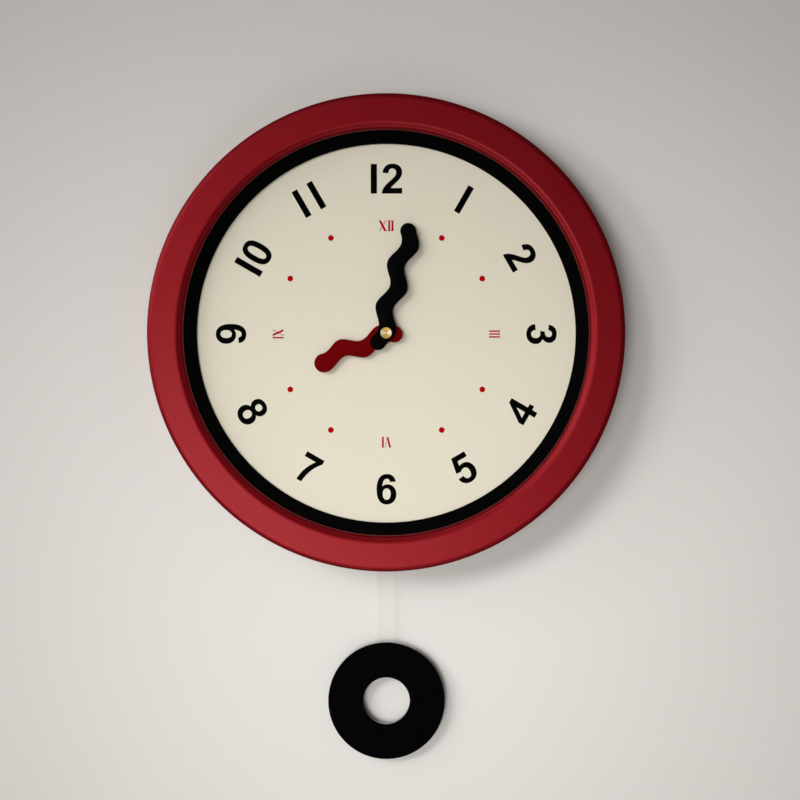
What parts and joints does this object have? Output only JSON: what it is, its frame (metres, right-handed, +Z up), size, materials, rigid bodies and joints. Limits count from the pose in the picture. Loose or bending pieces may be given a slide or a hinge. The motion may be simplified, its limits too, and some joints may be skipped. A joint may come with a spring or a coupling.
{
  "type": "pendulum wall clock",
  "caption": "Round wall clock with a broad red rim, cream numbered dial, wavy hands and a black ring bob on a clear rod.",
  "frame": {"origin": "the hanging point: where the wall screw meets the plane of the wall, at the top of the hanger plate's keyhole", "axes": "+Z up; +Y into the wall, so the dial faces -Y; +X to the right of someone who reads the dial"},
  "size_m": [0.3, 0.046, 0.4235],
  "materials": {
    "red_rim": "satin, finely pebbled",
    "lens": "clear, polished",
    "black_plastic": "satin",
    "dial": "matt printed card",
    "movement_case": "moulded, matt",
    "steel": "zinc plated",
    "battery_jacket": "shrink sleeve, glossy",
    "brass": "turned and polished",
    "rubber": "matt",
    "copper": "enamelled copper wire",
    "circuit_board": "solder mask",
    "nylon": "moulded, matt",
    "hour_hand_paint": "satin dark red paint",
    "minute_hand_paint": "satin black paint",
    "magnet": "sintered ferrite",
    "clear_acrylic": "clear, polished"
  },
  "bodies": {
    "case": {"front_rim": "red_rim", "lens": "lens", "spacer_ring": "black_plastic", "dial": "dial", "back_plate": "black_plastic", "case_screw_1": "steel", "case_screw_2": "steel", "case_screw_3": "steel", "case_screw_4": "steel", "case_screw_5": "steel", "case_screw_6": "steel", "hanger_plate": "steel", "hanger_screw_1": "steel", "hanger_screw_2": "steel", "movement_front_case": "movement_case", "movement_rear_case": "movement_case", "battery": "battery_jacket", "battery_contact_positive": "steel", "battery_contact_negative": "steel", "center_bushing": "brass", "dial_gasket": "rubber", "dial_washer": "brass", "hex_nut": "brass", "motion_post": "steel", "motor_coil": "copper", "motor_stator": "steel", "circuit_board": "circuit_board", "quartz_crystal": "steel", "pendulum_coil": "copper", "pivot_pin": "steel"},
    "minute_arbor": {"minute_wheel": "brass", "minute_hand": "minute_hand_paint", "hand_cap": "brass"},
    "hour_arbor": {"hour_wheel": "nylon", "hour_hand": "hour_hand_paint"},
    "motion_work": {"motion_wheel": "nylon"},
    "knob": {"setting_knob": "nylon"},
    "pendulum": {"pendulum_hanger": "movement_case", "hanger_magnet": "magnet", "pendulum_rod": "clear_acrylic", "bob": "black_plastic", "bob_pad": "rubber"}
  },
  "joints": [
    {"name": "minute_hand_spin", "type": "hinge", "parent": "case", "child": "minute_arbor", "pos_m": [0, -0.025, -0.098], "axis": [0, 1, 0], "continuous": true},
    {"name": "hour_hand_spin", "type": "hinge", "parent": "case", "child": "hour_arbor", "pos_m": [0, -0.025, -0.098], "axis": [0, 1, 0], "continuous": true},
    {"name": "motion_wheel_spin", "type": "hinge", "parent": "case", "child": "motion_work", "pos_m": [-0.0104, -0.02, -0.104], "axis": [0, 1, 0], "continuous": true},
    {"name": "setting_knob_spin", "type": "hinge", "parent": "case", "child": "knob", "pos_m": [-0.0104, -0.015, -0.116], "axis": [0, 1, 0], "continuous": true},
    {"name": "pendulum_swing", "type": "hinge", "parent": "case", "child": "pendulum", "pos_m": [0, -0.007, -0.138], "axis": [0, 1, 0], "range_deg": [-8, 8]}
  ],
  "couplings": [
    {"joint": "motion_wheel_spin", "follows": "minute_hand_spin", "ratio": -0.33333},
    {"joint": "hour_hand_spin", "follows": "minute_hand_spin", "ratio": 0.083333},
    {"joint": "setting_knob_spin", "follows": "minute_hand_spin", "ratio": 1}
  ]
}
